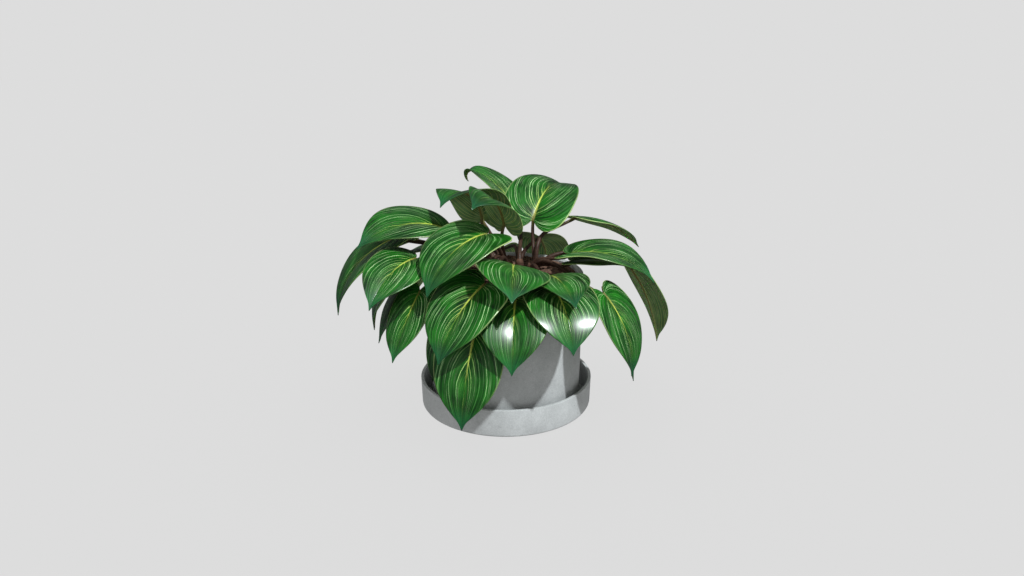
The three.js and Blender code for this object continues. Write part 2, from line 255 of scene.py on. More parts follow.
shape = bmesh.new()
rings = [SOIL_RADIUS * (1 - i / SOIL_RINGS) for i in range(SOIL_RINGS + 1)]
turned(
    shape,
    [(0, SOIL_FLOOR), (SOIL_FOOT, SOIL_FLOOR)]
    + [(radius, soil_height(radius)) for radius in rings],
    SOIL_STEPS,
)
for vert in shape.verts:
    radius = math.hypot(vert.co.x, vert.co.y)
    if vert.co.z > SOIL_FLOOR + 1 and radius < SOIL_RADIUS - 1:
        lumps = sum(rise * noise.noise(vert.co / span) for rise, span in SOIL_LUMPS)
        vert.co.z += lumps - 0.3
crumbs = random.Random(11)
for _ in range(CRUMBS):
    radius = SOIL_RADIUS * math.sqrt(crumbs.uniform(0.0, 0.93))
    angle = crumbs.uniform(0, math.tau)
    size = crumbs.choice(CRUMB_SIZES)
    turn = Quaternion(Vector(crumbs.uniform(-1, 1) for _ in range(3)).normalized(), angle * 3)
    spot = Matrix.Translation((radius * math.cos(angle), radius * math.sin(angle),
                               soil_height(radius) + 0.2 * size))
    squash = Matrix.Diagonal((size, size * crumbs.uniform(0.6, 1), size * 0.6, 1))
    bmesh.ops.create_icosphere(
        shape, subdivisions=1, radius=1, matrix=spot @ turn.to_matrix().to_4x4() @ squash,
    )

mix = new_material("potting_mix")
# Dark moist peat with lighter bark: matt, with brown crumbs of a few millimetres.
place = add_node(mix, "TexCoord").outputs["Object"]
clods = add_node(mix, "TexNoise", {"Vector": place, "Scale": per_metre(7), "Detail": 5,
                                   "Roughness": 0.7})
bark = add_node(mix, "TexVoronoi", {"Vector": place, "Scale": per_metre(3)})
bark_tone = add_node(mix, "SeparateColor", {0: bark.outputs["Color"]})
clod = add_node(mix, "MapRange", {"Value": clods, "From Min": 0.35, "From Max": 0.65})
peat = add_node(mix, "Mix", {0: clod, 6: linear("#46322a"), 7: linear("#6e5445")},
                data_type="RGBA")
chip = add_node(mix, "MapRange", {"Value": bark_tone, "From Min": 0.7, "From Max": 1,
                                  "To Min": 0, "To Max": 0.75})
brown = add_node(mix, "Mix", {0: chip, 6: peat.outputs[2], 7: linear("#8d6b54")},
                 data_type="RGBA")
relief = add_node(mix, "Math", {0: clods, 1: bark.outputs["Distance"]}, operation="SUBTRACT")
bump = add_node(mix, "Bump", {"Height": relief, "Strength": 0.9, "Distance": 0.0012})
shader = add_node(mix, "BsdfPrincipled", {
    "Base Color": brown.outputs[2], "Roughness": 0.95, "IOR": 1.4, "Normal": bump,
})
add_node(mix, "OutputMaterial", {"Surface": shader})

soil = settle(shape, "potting_soil", mix)
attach(soil, "root")
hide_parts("soil")

# Stems and petioles
# Six short stems stand in the soil, each with its petioles, the leaf stalks, lowest first. They
# are smooth, round and maroon, turn green at the blade and run on below it as its midrib.

# What a leaf has unless its own line says otherwise. bend is how far the midrib turns from base
# to tip, hook how far its end turns as well, roll turns the blade about it, fold lifts both
# halves, arch drops the edges, launch is the petiole's angle above level where it starts, meet
# its angle to the blade, in degrees, and pull how far both directions carry. base, tip and width
# are in millimetres.
TYPICAL = {"bend": 50, "hook": 0, "roll": 0, "width": 74, "fold": 14, "arch": 7,
           "launch": 50, "meet": 35, "pull": 0.35}
HOOK_START = 0.78

STEMS = {
    "front_left": ((2, -10), {
        "low_1": dict(base=(-29, -124, 136), tip=(-44, -146, 33), bend=22, roll=-18, launch=75,
                      meet=22, pull=0.47),
        "low_2": dict(base=(-45, -103, 142), tip=(-66, -116, 54), bend=20, width=54, roll=-44,
                      launch=75, meet=22, pull=0.5),
        "front_1": dict(base=(11, -103, 164), tip=(7, -160, 100), bend=68, launch=60, meet=22),
        "front_2": dict(base=(-21, -105, 176), tip=(-65, -150, 107), width=82, roll=-8),
        "front_3": dict(base=(9, -84, 191), tip=(7, -165, 176), bend=60, width=78, roll=-13,
                        fold=7),
        "left_1": dict(base=(-19, -60, 218), tip=(-78, -118, 166), bend=70, width=83, roll=-7),
        "top_1": dict(base=(-1, -27, 221), tip=(-33, -94, 250), bend=105, width=62, roll=-22),
    }),
    "left": ((-12, 2), {
        "low_3": dict(base=(-104, -22, 162), tip=(-145, -38, 85), bend=25, width=56, launch=70,
                      meet=22),
        "low_4": dict(base=(-91, -71, 158), tip=(-117, -112, 93), bend=20, width=58, roll=8,
                      launch=70, meet=22, pull=0.4),
        "left_2": dict(base=(-115, -35, 174), tip=(-148, -43, 103), launch=60),
        "left_3": dict(base=(-96, -55, 190), tip=(-135, -125, 155), bend=60, width=65, roll=-14),
        "left_4": dict(base=(-124, -7, 201), tip=(-191, -30, 116), bend=70, roll=-5, width=70),
        "left_5": dict(base=(-70, -3, 211), tip=(-159, -56, 200), bend=65, width=84, roll=-14),
        "top_2": dict(base=(-28, 33, 216), tip=(-71, -29, 240), bend=120, width=86, roll=5,
                      meet=25),
    }),
    "front_right": ((30, -6), {
        "right_1": dict(base=(109, -54, 144), tip=(143, -66, 51), bend=25, width=52, launch=62,
                        meet=26, pull=0.42),
        "right_2": dict(base=(105, -78, 157), tip=(135, -97, 71), width=60, roll=8, launch=62,
                        meet=36, pull=0.42),
        "front_4": dict(base=(50, -95, 168), tip=(67, -152, 118), bend=75, width=76),
        "front_5": dict(base=(45, -68, 174), tip=(69, -145, 164), roll=-4, bend=55, width=68),
        "right_3": dict(base=(73, -25, 187), tip=(162, -55, 162), bend=65, width=86, fold=16,
                        launch=65, meet=20),
    }),
    "right": ((34, 6), {
        "right_4": dict(base=(142, 30, 167), tip=(191, 45, 54), bend=34, width=90, launch=60),
        "right_5": dict(base=(76, -18, 177), tip=(143, -40, 173), bend=35, width=64, roll=-3),
        "top_3": dict(base=(87, 60, 212), tip=(168, 81, 168), bend=45, width=72, roll=-10, fold=4,
                      launch=85, meet=30, pull=0.55),
        "top_4": dict(base=(32, 25, 216), tip=(76, 117, 238), bend=85, width=84, roll=11),
    }),
    "back_right": ((16, 16), {
        "back_1": dict(base=(-8, 112, 157), tip=(-34, 156, 85), bend=30, width=66, launch=65,
                       meet=22, pull=0.4),
        "back_2": dict(base=(41, 72, 184), tip=(57, 121, 115), width=66, launch=65),
        "top_5": dict(base=(16, 86, 212), tip=(-61, 118, 266), bend=46, width=68, hook=150,
                      fold=20, meet=20, launch=72),
    }),
    "back_left": ((-6, 17), {
        "back_4": dict(base=(-98, 62, 156), tip=(-138, 88, 78), bend=25, launch=72, meet=22,
                       pull=0.42),
        "back_5": dict(base=(-40, 96, 168), tip=(-58, 146, 98), width=66, launch=60),
        "back_6": dict(base=(-85, 55, 174), tip=(-150, 85, 136), launch=55),
        "left_6": dict(base=(-117, 42, 191), tip=(-182, 13, 163), width=60, bend=30, launch=42),
        "back_3": dict(base=(-30, 76, 204), tip=(-66, 130, 168), width=62),
    }),
}

STEM_RADIUS = 5.4
STEM_FOOT = 138
STEM_TOP = 172
STEM_SIDES = 24
# The scars of fallen leaves ring the stem from this height on
SCARS_START = STEM_FOOT + 12
SCAR_STEPS = 15
SCAR_STEP = 1.1
# The petioles leave a stem between these heights
LOWEST_PETIOLE = 159
HIGHEST_PETIOLE = 168
PETIOLE_RADIUS = 2.7
PETIOLE_SIDES = 12
PETIOLE_STEPS = 30
# Below the blade it ends just short of the tip
MIDRIB_STEPS = 20
MIDRIB_END = 0.97
# How far its axis lies under the middle of the blade where they meet
PETIOLE_DROP = 0.85
UPRIGHT = Vector((0, 0, 1))


def midrib_at(leaf, share):
    """A midrib's point and its directions along, up and left, at a share of its length."""
    # it is an arc that turns by bend, and from HOOK_START on it turns by hook as well
    base = Vector(leaf["base"])
    chord = Vector(leaf["tip"]) - base
    ahead = chord.normalized()
    rise = (UPRIGHT - ahead * ahead.z).normalized()
    half = math.radians(leaf["bend"]) / 2
    radius = chord.length / (2 * math.sin(half))
    curl = 2 * half + math.radians(leaf["hook"]) / (1 - HOOK_START)
    tight = radius * 2 * half / curl
    even = min(share, HOOK_START)
    bent = half - 2 * half * even
    angle = bent - curl * (share - even)
    point = (base
             + ahead * (radius * (math.sin(half) - math.sin(bent))
                        + tight * (math.sin(bent) - math.sin(angle)))
             + rise * (radius * (math.cos(bent) - math.cos(half))
                       + tight * (math.cos(angle) - math.cos(bent))))
    along = ahead * math.cos(angle) + rise * math.sin(angle)
    up = rise * math.cos(angle) - ahead * math.sin(angle)
    up.rotate(Quaternion(along, math.radians(leaf["roll"])))
    return point, along, up, up.cross(along)


def petiole_path(leaf, root):
    """Centre, radius and share of the way, from the stem to the blade and on under its midrib."""
    point, along, up, _ = midrib_at(leaf, 0)
    meet, launch = math.radians(leaf["meet"]), math.radians(leaf["launch"])
    seat = point - up * PETIOLE_DROP
    arrival = along * math.cos(meet) + up * math.sin(meet)
    outward = Vector((seat.x - root.x, seat.y - root.y, 0)).normalized()
    departure = outward * math.cos(launch) + UPRIGHT * math.sin(launch)
    handle = (root - seat).length * leaf["pull"]
    first, second = root + departure * handle, seat - arrival * handle
    path = []
    for step in range(PETIOLE_STEPS + 1):
        t = step / PETIOLE_STEPS
        centre = (root * (1 - t) ** 3 + first * 3 * t * (1 - t) ** 2
                  + second * 3 * t * t * (1 - t) + seat * t ** 3)
        # it sheathes the stem, thins by a millimetre and has a slight knee before the blade
        sheath = 1.1 * math.exp(-t / 0.05)
        knee = 0.25 * math.exp(-((t - 0.97) / 0.05) ** 2)
        path.append((centre, PETIOLE_RADIUS - t + sheath + knee, t))
    for step in range(1, MIDRIB_STEPS + 1):
        share = MIDRIB_END * step / MIDRIB_STEPS
        point, _, up, _ = midrib_at(leaf, share)
        # under the blade it is fused with it and thins towards the tip, and near the base its
        # top shows in the blade's groove
        radius = 0.3 + 1.3 * (1 - share) ** 1.5
        path.append((point - up * (0.4 + 0.55 * radius), radius, 1 + share))
    return path


def grow(shape, path, way):
    """Extrudes a round, tapering stalk along a path, and writes each ring's share of the way."""
    # any direction will do to start the rings from, but for the one that the stalk sets out in
    side = Vector((0, 1, 0.3))
    ring_place = None
    for i, (centre, radius, share) in enumerate(path):
        before, after = path[max(i - 1, 0)][0], path[min(i + 1, len(path) - 1)][0]
        ahead = (after - before).normalized()
        side = (side - ahead * side.dot(ahead)).normalized()
        axes = Matrix((side, ahead.cross(side), ahead)).transposed() * radius
        place = Matrix.Translation(centre) @ axes.to_4x4()
        if ring_place is None:
            made = bmesh.ops.create_circle(
                shape, cap_ends=True, segments=PETIOLE_SIDES, radius=1, matrix=place,
            )
            ring = made["verts"]
            edges = list({edge for vert in ring for edge in vert.link_edges})
        else:
            made = bmesh.ops.extrude_edge_only(shape, edges=edges)["geom"]
            ring = [item for item in made if isinstance(item, bmesh.types.BMVert)]
            inside = set(ring)
            edges = [item for item in made
                     if isinstance(item, bmesh.types.BMEdge) and set(item.verts) <= inside]
            bmesh.ops.transform(shape, matrix=place @ ring_place.inverted(), verts=ring)
        for vert in ring:
            vert[way] = share
        ring_place = place
    bmesh.ops.contextual_create(shape, geom=edges)


petiole_skin = new_material("petiole_skin")
# Living stalk: waxy maroon with olive mottling, green near the blade and straw under it.
passed = add_node(petiole_skin, "Attribute", attribute_name="way", attribute_type="GEOMETRY")
place = add_node(petiole_skin, "TexCoord").outputs["Object"]
blotches = add_node(petiole_skin, "TexNoise", {"Vector": place, "Scale": per_metre(9),
                                               "Detail": 4, "Roughness": 0.6})
specks = add_node(petiole_skin, "TexNoise", {"Vector": place, "Scale": per_metre(1.2),
                                             "Detail": 2})
blotch = add_node(petiole_skin, "MapRange", {"Value": blotches, "From Min": 0.35,
                                             "From Max": 0.7})
maroon = add_node(petiole_skin, "Mix", {0: blotch, 6: linear("#30201a"), 7: linear("#4f3c31")},
                  data_type="RGBA")
wander = add_node(petiole_skin, "Math", {0: blotches, 1: 0.22, 2: passed.outputs["Fac"]},
                  operation="MULTIPLY_ADD")
greening = add_node(petiole_skin, "MapRange", {"Value": wander, "From Min": 0.92,
                                               "From Max": 1.14})
olive = add_node(petiole_skin, "Mix", {0: greening, 6: maroon.outputs[2], 7: linear("#6b6a38")},
                 data_type="RGBA")
under = add_node(petiole_skin, "MapRange", {"Value": passed.outputs["Fac"], "From Min": 1.0,
                                            "From Max": 1.25})
straw = add_node(petiole_skin, "Mix", {0: under, 6: olive.outputs[2], 7: linear("#7d7440")},
                 data_type="RGBA")
speck = add_node(petiole_skin, "MapRange", {"Value": specks, "From Min": 0.35, "From Max": 0.65,
                                            "To Min": 0.82, "To Max": 1.15})
skin_tone = add_node(petiole_skin, "Mix", {0: 1, 6: straw.outputs[2], 7: speck},
                     data_type="RGBA", blend_type="MULTIPLY")
rough = add_node(petiole_skin, "MapRange", {"Value": blotches, "To Min": 0.32, "To Max": 0.55})
bump = add_node(petiole_skin, "Bump", {"Height": specks, "Strength": 0.5, "Distance": 0.0003})
shader = add_node(petiole_skin, "BsdfPrincipled", {
    "Base Color": skin_tone.outputs[2], "Roughness": rough, "IOR": 1.42,
    "Specular IOR Level": 0.25, "Normal": bump,
})
add_node(petiole_skin, "OutputMaterial", {"Surface": shader})

stem_bark = new_material("stem_bark")
# Old stem: brown, dull and ringed with the scars of leaves that fell.
place = add_node(stem_bark, "TexCoord").outputs["Object"]
scars = add_node(stem_bark, "TexWave", {"Vector": place, "Scale": per_metre(5) / 20,
                                        "Distortion": 3, "Detail": 2},
                 wave_type="BANDS", bands_direction="Z")
fibre = add_node(stem_bark, "TexNoise", {"Vector": place, "Scale": per_metre(2), "Detail": 3})
tone = add_node(stem_bark, "Math", {0: scars, 1: fibre}, operation="MULTIPLY")
bark = add_node(stem_bark, "Mix", {0: tone, 6: linear("#3a241c"), 7: linear("#7c5a43")},
                data_type="RGBA")
bump = add_node(stem_bark, "Bump", {"Height": tone, "Strength": 0.8, "Distance": 0.0006})
shader = add_node(stem_bark, "BsdfPrincipled", {
    "Base Color": bark.outputs[2], "Roughness": 0.75, "IOR": 1.4, "Normal": bump,
})
add_node(stem_bark, "OutputMaterial", {"Surface": shader})

for stem_name, (foot, leaves) in STEMS.items():
    shape = bmesh.new()
    way = shape.verts.layers.float.new("way")
    swell = [(0, STEM_FOOT), (STEM_RADIUS, STEM_FOOT)]
    for step in range(SCAR_STEPS):
        scar = 0.94 + 0.06 * math.cos(step * 2.1)
        swell.append((STEM_RADIUS * scar, SCARS_START + step * SCAR_STEP))
    swell += [(STEM_RADIUS * 0.82, STEM_TOP - 4), (STEM_RADIUS * 0.5, STEM_TOP - 1.2),
              (0, STEM_TOP)]
    turned(shape, swell, STEM_SIDES)
    bmesh.ops.translate(shape, vec=(foot[0], foot[1], 0), verts=shape.verts)
    for face in shape.faces:
        face.material_index = 1
    for rank, leaf in enumerate(leaves.values()):
        height = LOWEST_PETIOLE + (HIGHEST_PETIOLE - LOWEST_PETIOLE) * rank / (len(leaves) - 1)
        path = petiole_path({**TYPICAL, **leaf}, Vector((foot[0], foot[1], height)))
        grow(shape, path, way)
    bmesh.ops.recalc_face_normals(shape, faces=shape.faces)
    stalks = settle(shape, f"stem_and_petioles_{stem_name}", petiole_skin, stem_bark)
    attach(stalks, "root")
    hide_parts(f"stem_{stem_name}")

# Leaf blades
# One heart shaped blade sits on each petiole. It is a thin waxy sheet, sunk a little along its
# midrib and side veins, with cream stripes that grew along the veins on its upper face.

# Half outline from the notch round the lobe to the tip, as shares of the midrib's length and of
# half the blade's width
OUTLINE = [(0, 0), (-0.07, 0.13), (-0.12, 0.36), (-0.1, 0.62), (-0.02, 0.84), (0.11, 0.97),
           (0.27, 1), (0.44, 0.955), (0.59, 0.815), (0.72, 0.59), (0.83, 0.33), (0.915, 0.115),
           (1, 0)]
BLADE_ROWS = 60
BLADE_COLUMNS = 28
BLADE_THICKNESS = 0.9
# The ripple along the margin, in radians from notch to tip, and the groove over the midrib
RIPPLE_HEIGHT = 0.7
RIPPLE_RADIANS = 17
GROOVE_DEPTH = 0.5
GROOVE_WIDTH = 1.8
# What sets a leaf's ripple and its pattern apart from those of the leaf before it
RIPPLE_SHIFT = 3.7
PATTERN_SHIFT = 0.618
# How many stripes each half of a blade has, and how many veins on its under face
MAIN_STRIPES = 16
FINE_STRIPES = 46
BACK_VEINS = 14


def outline_at(share):
    """Smooth curve through the outline's points."""
    points = [Vector(point) for point in OUTLINE]
    points = [points[0] * 2 - points[1], *points, points[-1] * 2 - points[-2]]
    step = min(share * (len(OUTLINE) - 1), len(OUTLINE) - 1.000001)
    i, t = int(step), step % 1
    a, b, c, d = points[i:i + 4]
    return (b * 2 + (c - a) * t + (a * 2 - b * 5 + c * 4 - d) * t ** 2
            + (b * 3 - a - c * 3 + d) * t ** 3) / 2


def blade_at(leaf, row, across, ripple):
    """Point of a blade, and its share along the midrib, from its row and its place across."""
    edge_share, edge_out = outline_at(row)
    side = abs(across)
    # a row leaves the midrib nearer the base than it meets the margin, as the veins do
    origin = row ** 2.2
    share = origin + (edge_share - origin) * side ** 1.5
    out = edge_out * side
    point, _, up, left = midrib_at(leaf, share)
    reach = out * leaf["width"] / 2
    lift = reach * math.tan(math.radians(leaf["fold"])) - leaf["arch"] * out ** 2
    wave = math.sin(row * RIPPLE_RADIANS + ripple + (2 if across < 0 else 0))
    lift += RIPPLE_HEIGHT * side ** 3 * wave * out
    lift -= GROOVE_DEPTH * math.exp(-(reach / GROOVE_WIDTH) ** 2) * max(0, 1 - share)
    return point + left * math.copysign(reach, across) + up * lift, share, out


def vein_marks(skin):
    """Where the surface lies between the veins: masks that the two faces of a blade share."""
    uv = add_node(skin, "UVMap", uv_map="veins")
    uv = add_node(skin, "SeparateXYZ", {0: uv})
    row, across = uv.outputs[0], uv.outputs[1]
    spot = add_node(skin, "Attribute", attribute_name="blade_place", attribute_type="GEOMETRY")
    spot = add_node(skin, "SeparateXYZ", {0: spot.outputs["Vector"]})
    share, reach, seed = spot.outputs[0], spot.outputs[1], spot.outputs[2]
    signed = add_node(skin, "Math", {0: across, 1: 2, 2: -1}, operation="MULTIPLY_ADD")
    side = add_node(skin, "Math", {0: signed}, operation="ABSOLUTE")
    half = add_node(skin, "Math", {0: signed, 1: 0}, operation="GREATER_THAN")
    # a vein leaves the midrib at an angle and sweeps forward to meet the margin nearer the tip
    vein = add_node(skin, "Math", {0: side, 1: -0.5, 2: row}, operation="MULTIPLY_ADD")
    own = add_node(skin, "Math", {0: seed, 1: 61.7, 2: half}, operation="MULTIPLY_ADD")
    own = add_node(skin, "Math", {0: own, 1: 17.3}, operation="MULTIPLY")
    return side, share, reach, vein, own


face_skin = new_material("birkin_leaf_face")
# Upper face: deep green under clear wax, so glossy, with cream stripes and a yellow midrib.
side, share, reach, vein, own = vein_marks(face_skin)
cells = add_node(face_skin, "TexCoord").outputs["Object"]
patches = add_node(face_skin, "TexNoise", {"Vector": cells, "Scale": per_metre(24), "Detail": 3})
sway = add_node(face_skin, "Math", {0: patches, 1: 0.9, 2: own}, operation="MULTIPLY_ADD")
main_place = add_node(face_skin, "Math", {0: vein, 1: MAIN_STRIPES, 2: sway},
                      operation="MULTIPLY_ADD")
main = add_node(face_skin, "TexVoronoi", {"W": main_place, "Scale": 1, "Randomness": 0.95},
                voronoi_dimensions="1D")
main_tone = add_node(face_skin, "SeparateColor", {0: main.outputs["Color"]})
fine_place = add_node(face_skin, "Math", {0: vein, 1: FINE_STRIPES, 2: own},
                      operation="MULTIPLY_ADD")
fine = add_node(face_skin, "TexVoronoi", {"W": fine_place, "Scale": 1, "Randomness": 0.9},
                voronoi_dimensions="1D")
fine_tone = add_node(face_skin, "SeparateColor", {0: fine.outputs["Color"]})
# stripes swell, fade and break along their length, and are gone before the tip
along_vein = add_node(face_skin, "CombineXYZ", {0: main_place, 1: side, 2: own})
stretch = add_node(face_skin, "VectorMath", {0: along_vein, 1: (1.3, 4.2, 1)},
                   operation="MULTIPLY")
breaks = add_node(face_skin, "TexNoise", {"Vector": stretch, "Scale": 1, "Detail": 2})
main_break = add_node(face_skin, "MapRange", {"Value": breaks, "From Min": 0.36, "From Max": 0.6,
                                              "To Min": 0.22, "To Max": 1})
fine_break = add_node(face_skin, "MapRange", {"Value": breaks, "From Min": 0.42,
                                              "From Max": 0.62})
main_width = add_node(face_skin, "MapRange", {"Value": main_tone.outputs[0], "To Min": 0.042,
                                              "To Max": 0.086})
main_line = add_node(face_skin, "MapRange", {"Value": main.outputs["Distance"],
                                             "From Min": main_width, "From Max": 0.015,
                                             "To Min": 0, "To Max": 1},
                     interpolation_type="SMOOTHSTEP")
main_strength = add_node(face_skin, "MapRange", {"Value": main_tone.outputs[1], "From Min": 0.25,
                                                 "From Max": 0.72, "To Min": 0.12, "To Max": 1})
towards_tip = add_node(face_skin, "Math", {0: breaks, 1: 0.5, 2: share}, operation="MULTIPLY_ADD")
tip_fade = add_node(face_skin, "MapRange", {"Value": towards_tip, "From Min": 0.8,
                                            "From Max": 1.2, "To Min": 1, "To Max": 0.06})
edge_fade = add_node(face_skin, "MapRange", {"Value": side, "From Min": 0.8, "From Max": 0.98,
                                             "To Min": 1, "To Max": 0.3})
fade = add_node(face_skin, "Math", {0: tip_fade, 1: edge_fade}, operation="MULTIPLY")
main_power = add_node(face_skin, "Math", {0: main_strength, 1: main_break}, operation="MULTIPLY")
main_power = add_node(face_skin, "Math", {0: main_power, 1: fade}, operation="MULTIPLY")
main_mark = add_node(face_skin, "Math", {0: main_line, 1: main_power}, operation="MULTIPLY")
fine_line = add_node(face_skin, "MapRange", {"Value": fine.outputs["Distance"], "From Min": 0.24,
                                             "From Max": 0.04, "To Min": 0, "To Max": 1},
                     interpolation_type="SMOOTHSTEP")
fine_strength = add_node(face_skin, "MapRange", {"Value": fine_tone.outputs[1], "From Min": 0.5,
                                                 "To Min": 0, "To Max": 0.38})
fine_mark = add_node(face_skin, "Math", {0: fine_line, 1: fine_strength}, operation="MULTIPLY")
fine_mark = add_node(face_skin, "Math", {0: fine_mark, 1: fine_break}, operation="MULTIPLY")
fine_mark = add_node(face_skin, "Math", {0: fine_mark, 1: fade}, operation="MULTIPLY")
stripe = add_node(face_skin, "Math", {0: main_mark, 1: fine_mark}, operation="MAXIMUM")
# the midrib is widest and brightest at the base, forks into the stripes and ends before the tip
rib_width = add_node(face_skin, "MapRange", {"Value": share, "From Min": 0, "From Max": 0.7,
                                             "To Min": 0.085, "To Max": 0.01})
fork = add_node(face_skin, "Math", {0: main_mark, 1: 1.6, 2: 0.7}, operation="MULTIPLY_ADD")
rib_width = add_node(face_skin, "Math", {0: rib_width, 1: fork}, operation="MULTIPLY")
off_rib = add_node(face_skin, "Math", {0: reach}, operation="ABSOLUTE")
rib_line = add_node(face_skin, "MapRange", {"Value": off_rib, "From Min": rib_width,
                                            "From Max": 0.003, "To Min": 0, "To Max": 1},
                    interpolation_type="SMOOTHSTEP")
rib_fade = add_node(face_skin, "MapRange", {"Value": share, "From Min": 0.2, "From Max": 0.55,
                                            "To Min": 0.95, "To Max": 0.06})
rib_mark = add_node(face_skin, "Math", {0: rib_line, 1: rib_fade}, operation="MULTIPLY")
# a pale line runs along the margin of the lobes
rim_line = add_node(face_skin, "MapRange", {"Value": side, "From Min": 0.96, "From Max": 0.99},
                    interpolation_type="SMOOTHSTEP")
rim_fade = add_node(face_skin, "MapRange", {"Value": share, "From Min": 0.05, "From Max": 0.7,
                                            "To Min": 0.9, "To Max": 0.05})
rim_mark = add_node(face_skin, "Math", {0: rim_line, 1: rim_fade}, operation="MULTIPLY")
# the green between them runs in streaks along the veins, with lighter patches, and is painted
# bluer at the tip as a painted reflection
streak_place = add_node(face_skin, "VectorMath", {0: along_vein, 1: (3.4, 1.6, 1)},
                        operation="MULTIPLY")
streaks = add_node(face_skin, "TexNoise", {"Vector": streak_place, "Scale": 1, "Detail": 4,
                                           "Roughness": 0.65})
pores = add_node(face_skin, "TexNoise", {"Vector": cells, "Scale": per_metre(0.9), "Detail": 2})
vivid = add_node(face_skin, "Math", {0: patches, 1: 0.6, 2: streaks}, operation="MULTIPLY_ADD")
vivid = add_node(face_skin, "MapRange", {"Value": vivid, "From Min": 0.66, "From Max": 0.98})
green = add_node(face_skin, "Mix", {0: vivid, 6: linear("#042607"), 7: linear("#1a6c14")},
                 data_type="RGBA")
glow = add_node(face_skin, "MapRange", {"Value": main.outputs["Distance"], "From Min": 0.34,
                                        "From Max": 0.05, "To Min": 0, "To Max": 0.5})
glow = add_node(face_skin, "Math", {0: glow, 1: main_power}, operation="MULTIPLY")
green = add_node(face_skin, "Mix", {0: glow, 6: green.outputs[2], 7: linear("#2c8b24")},
                 data_type="RGBA")
# painted reflection: the end of the blade is tinted teal, the way the surround's reflection tints
# it
tip = add_node(face_skin, "MapRange", {"Value": share, "From Min": 0.76, "From Max": 1,
                                       "To Min": 0, "To Max": 0.6})
green = add_node(face_skin, "Mix", {0: tip, 6: green.outputs[2], 7: linear("#0f6444")},
                 data_type="RGBA")
pore = add_node(face_skin, "MapRange", {"Value": pores, "From Min": 0.3, "From Max": 0.7,
                                        "To Min": 0.86, "To Max": 1.12})
green = add_node(face_skin, "Mix", {0: 1, 6: green.outputs[2], 7: pore}, data_type="RGBA",
                 blend_type="MULTIPLY")
outward = add_node(face_skin, "MapRange", {"Value": side, "From Min": 0.02, "From Max": 0.4})
cream = add_node(face_skin, "Mix", {0: outward, 6: linear("#dded78"), 7: linear("#d9f7bb")},
                 data_type="RGBA")
leaf_tone = add_node(face_skin, "Mix", {0: stripe, 6: green.outputs[2], 7: cream.outputs[2]},
                     data_type="RGBA")
leaf_tone = add_node(face_skin, "Mix", {0: rim_mark, 6: leaf_tone.outputs[2],
                                        7: linear("#a9c27a")}, data_type="RGBA")
rib_tone = add_node(face_skin, "MapRange", {"Value": share, "From Min": 0.01, "From Max": 0.12})
rib_tone = add_node(face_skin, "Mix", {0: rib_tone, 6: linear("#a8994e"), 7: linear("#cad95c")},
                    data_type="RGBA")
leaf_tone = add_node(face_skin, "Mix", {0: rib_mark, 6: leaf_tone.outputs[2],
                                        7: rib_tone.outputs[2]}, data_type="RGBA")
rough = add_node(face_skin, "MapRange", {"Value": patches, "To Min": 0.38, "To Max": 0.52})
ridge = add_node(face_skin, "MapRange", {"Value": main.outputs["Distance"], "From Min": 0,
                                         "From Max": 0.4}, interpolation_type="SMOOTHSTEP")
relief = add_node(face_skin, "Math", {0: pores, 1: 0.12, 2: ridge}, operation="MULTIPLY_ADD")
bump = add_node(face_skin, "Bump", {"Height": relief, "Strength": 0.6, "Distance": 0.00035})
wax = add_node(face_skin, "MapRange", {"Value": share, "From Min": 0.05, "From Max": 0.3,
                                       "To Min": 0.05, "To Max": 1})
shader = add_node(face_skin, "BsdfPrincipled", {
    "Base Color": leaf_tone.outputs[2], "Roughness": rough, "IOR": 1.45,
    "Specular IOR Level": 0.15, "Coat Weight": wax, "Coat Roughness": 0.28, "Coat IOR": 1.6,
    "Normal": bump,
})
add_node(face_skin, "OutputMaterial", {"Surface": shader})

back_skin = new_material("birkin_leaf_back")
# Under face: duller olive green without wax, its veins raised and its stripes showing faintly.
_, _, reach, vein, own = vein_marks(back_skin)
back_place = add_node(back_skin, "Math", {0: vein, 1: BACK_VEINS, 2: own},
                      operation="MULTIPLY_ADD")
ribs = add_node(back_skin, "TexVoronoi", {"W": back_place, "Scale": 1, "Randomness": 0.7},
                voronoi_dimensions="1D")
rib_line = add_node(back_skin, "MapRange", {"Value": ribs.outputs["Distance"], "From Min": 0.13,
                                            "From Max": 0.02, "To Min": 0, "To Max": 0.85},
                    interpolation_type="SMOOTHSTEP")
cells = add_node(back_skin, "TexCoord").outputs["Object"]
patches = add_node(back_skin, "TexNoise", {"Vector": cells, "Scale": per_metre(18), "Detail": 4})
pores = add_node(back_skin, "TexNoise", {"Vector": cells, "Scale": per_metre(1.1), "Detail": 2})
patch = add_node(back_skin, "MapRange", {"Value": patches, "From Min": 0.35, "From Max": 0.65})
olive = add_node(back_skin, "Mix", {0: patch, 6: linear("#517142"), 7: linear("#71965e")},
                 data_type="RGBA")
pore = add_node(back_skin, "MapRange", {"Value": pores, "From Min": 0.3, "From Max": 0.7,
                                        "To Min": 0.85, "To Max": 1.12})
olive = add_node(back_skin, "Mix", {0: 1, 6: olive.outputs[2], 7: pore}, data_type="RGBA",
                 blend_type="MULTIPLY")
off_rib = add_node(back_skin, "Math", {0: reach}, operation="ABSOLUTE")
near_rib = add_node(back_skin, "MapRange", {"Value": off_rib, "From Min": 0.09, "From Max": 0.01,
                                            "To Min": 0, "To Max": 0.7})
veined = add_node(back_skin, "Math", {0: rib_line, 1: near_rib}, operation="MAXIMUM")
olive = add_node(back_skin, "Mix", {0: veined, 6: olive.outputs[2], 7: linear("#b7c478")},
                 data_type="RGBA")
rough = add_node(back_skin, "MapRange", {"Value": patches, "To Min": 0.48, "To Max": 0.62})
relief = add_node(back_skin, "Math", {0: pores, 1: 0.2, 2: rib_line}, operation="MULTIPLY_ADD")
